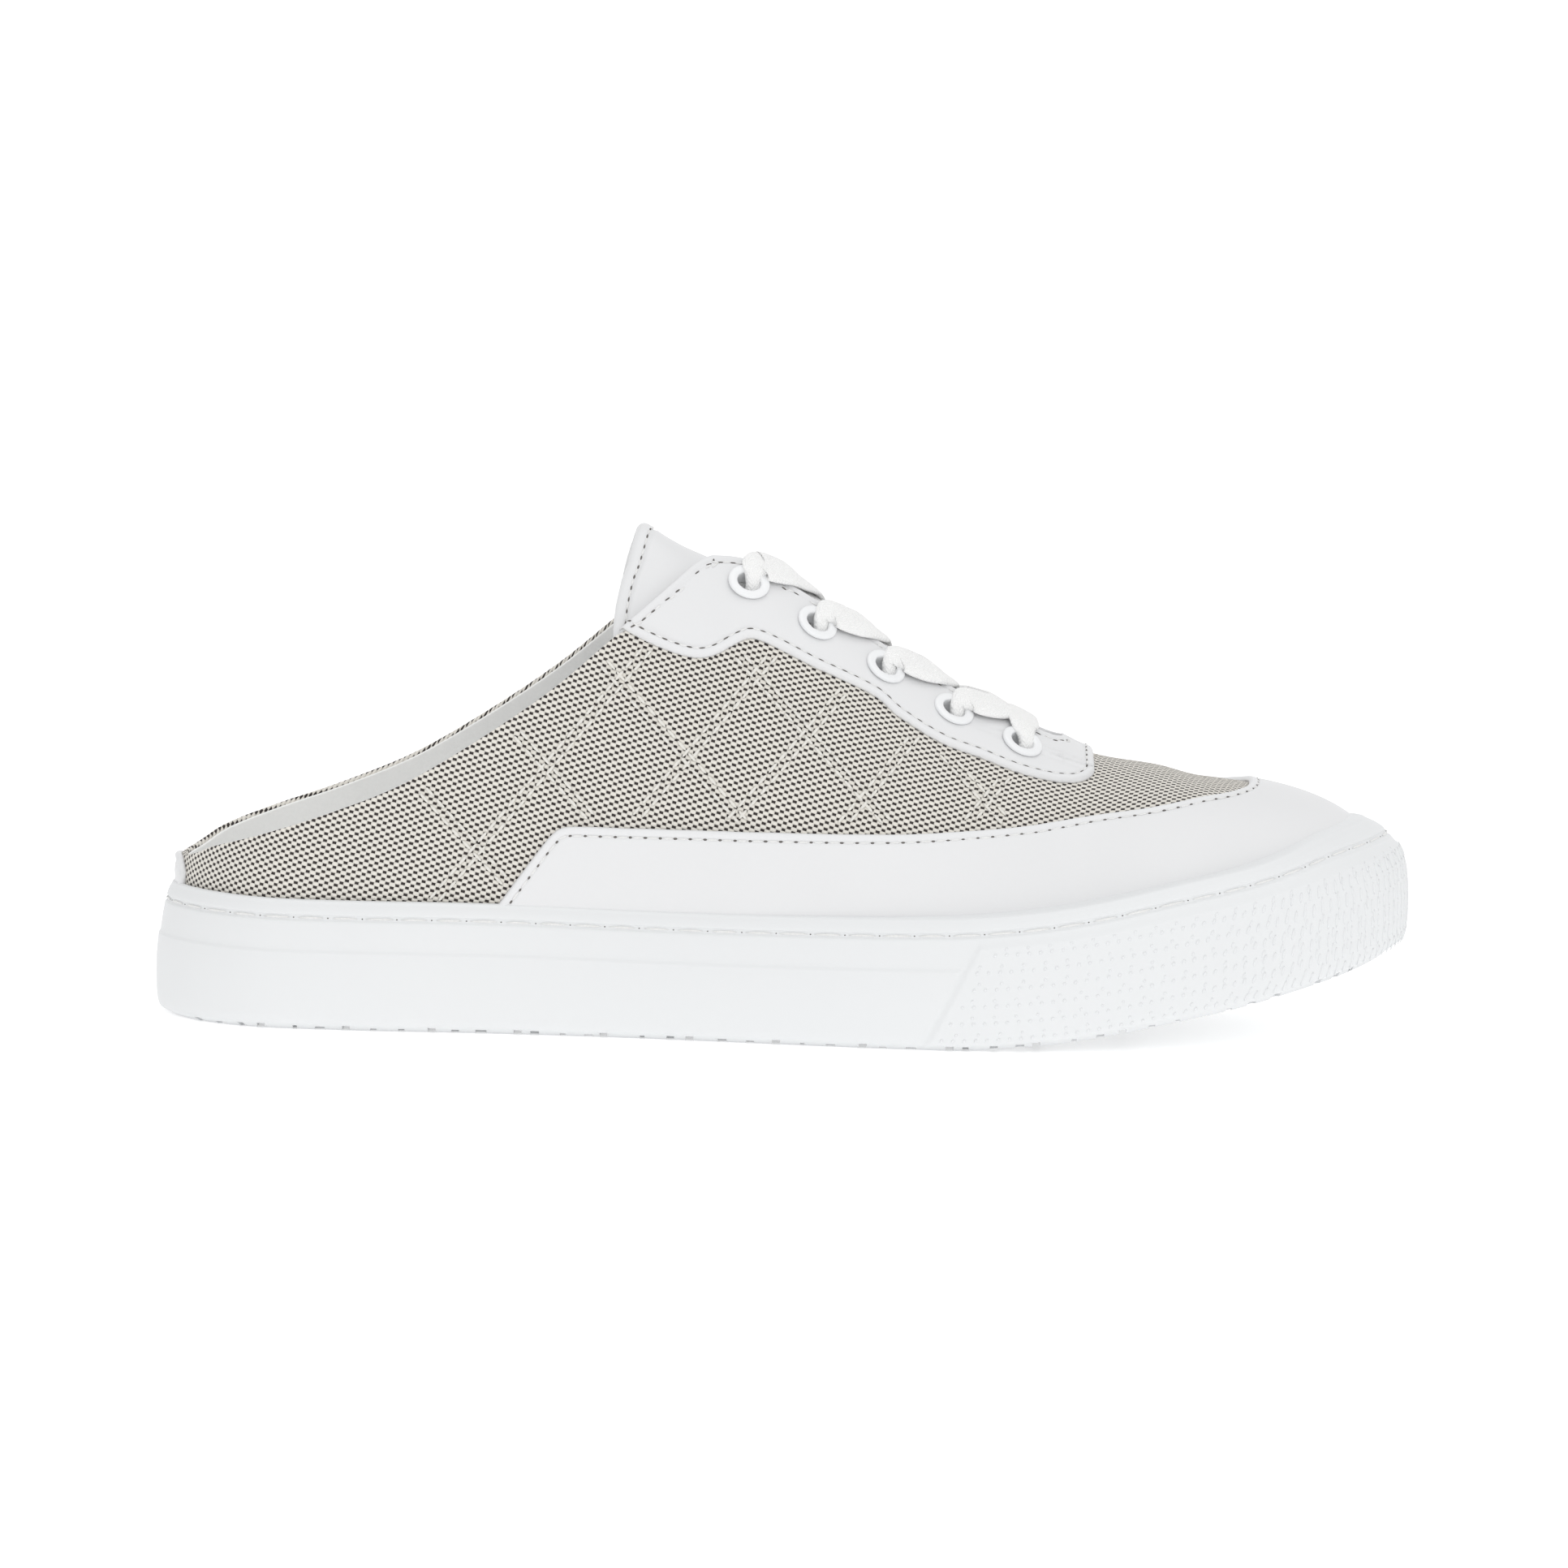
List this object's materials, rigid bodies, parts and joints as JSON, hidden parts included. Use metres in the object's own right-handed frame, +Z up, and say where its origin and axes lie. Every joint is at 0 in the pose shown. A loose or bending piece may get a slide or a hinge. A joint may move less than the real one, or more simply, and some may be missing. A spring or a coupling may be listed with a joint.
{
  "type": "mule",
  "caption": "Low backless lace-up sneaker: canvas upper with leather toe guard, eyestay and tongue on a cupped rubber sole with a textured toe bumper.",
  "frame": {"origin": "on the ground, under the middle of the shoe's bounding box", "axes": "+X from heel to toe, +Z up, -Y the outer (lateral) side of this right shoe"},
  "size_m": [0.2958, 0.1052, 0.1186],
  "materials": {
    "sole_rubber": "smooth matt moulded white rubber, dotted texture on the toe bumper",
    "canvas": "cream canvas with a fine dark staggered weave",
    "leather": "smooth white leather, satin, stitched edges",
    "insole_textile": "pale grey textile",
    "eyelet_plastic": "white satin plastic",
    "lace_cotton": "white woven cotton"
  },
  "bodies": {
    "root": {"cup_sole": "sole_rubber", "insole": "insole_textile", "upper": "canvas", "toe_guard": "leather", "eyestay": "leather", "heel_tab": "leather", "tongue": "leather", "eyelet_outer_1": "eyelet_plastic", "eyelet_outer_2": "eyelet_plastic", "eyelet_outer_3": "eyelet_plastic", "eyelet_outer_4": "eyelet_plastic", "eyelet_outer_5": "eyelet_plastic", "eyelet_inner_1": "eyelet_plastic", "eyelet_inner_2": "eyelet_plastic", "eyelet_inner_3": "eyelet_plastic", "eyelet_inner_4": "eyelet_plastic", "eyelet_inner_5": "eyelet_plastic", "lace_crossing_1": "lace_cotton", "lace_crossing_2": "lace_cotton", "lace_crossing_3": "lace_cotton", "lace_crossing_4": "lace_cotton", "lace_bar": "lace_cotton"}
  },
  "joints": []
}
